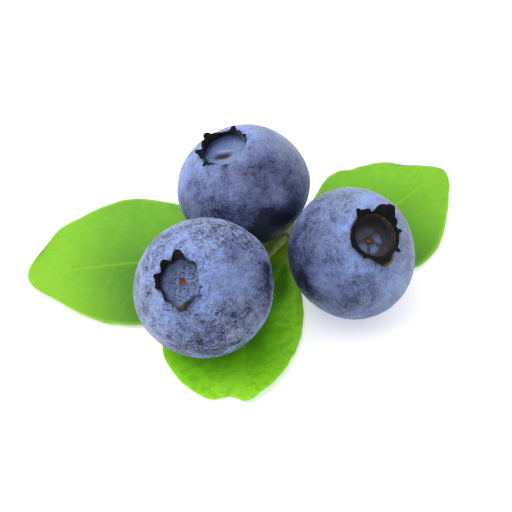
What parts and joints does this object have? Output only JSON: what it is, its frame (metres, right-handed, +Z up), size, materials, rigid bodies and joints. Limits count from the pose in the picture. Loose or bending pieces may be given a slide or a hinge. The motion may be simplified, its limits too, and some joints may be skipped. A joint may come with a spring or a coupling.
{
  "type": "blueberry sprig",
  "caption": "Small sprig of ripe round berries with flared dried crowns on short pedicels, with broad oval leaves and a short cut twig, lying flat.",
  "frame": {"origin": "middle of the sprig's footprint, on the surface that it lies on", "axes": "+Z up from the surface; +X along the sprig's longest side, from the long leaf's tip towards the opposite leaf; +Y towards the cut end of the twig"},
  "size_m": [0.0479, 0.0371, 0.0152],
  "materials": {
    "blueberry_skin": "dark blue skin under a pale waxy bloom, matt",
    "dried_crown": "dry and matt, nearly black",
    "leaf_green": "fresh leaf, satin",
    "twig_bark": "young green-brown bark, matt"
  },
  "bodies": {
    "root": {"berry_front": "blueberry_skin", "berry_back": "blueberry_skin", "berry_right": "blueberry_skin", "calyx_front": "dried_crown", "calyx_back": "dried_crown", "calyx_right": "dried_crown", "leaf_left": "leaf_green", "leaf_front": "leaf_green", "leaf_right": "leaf_green", "twig": "twig_bark"}
  },
  "joints": []
}
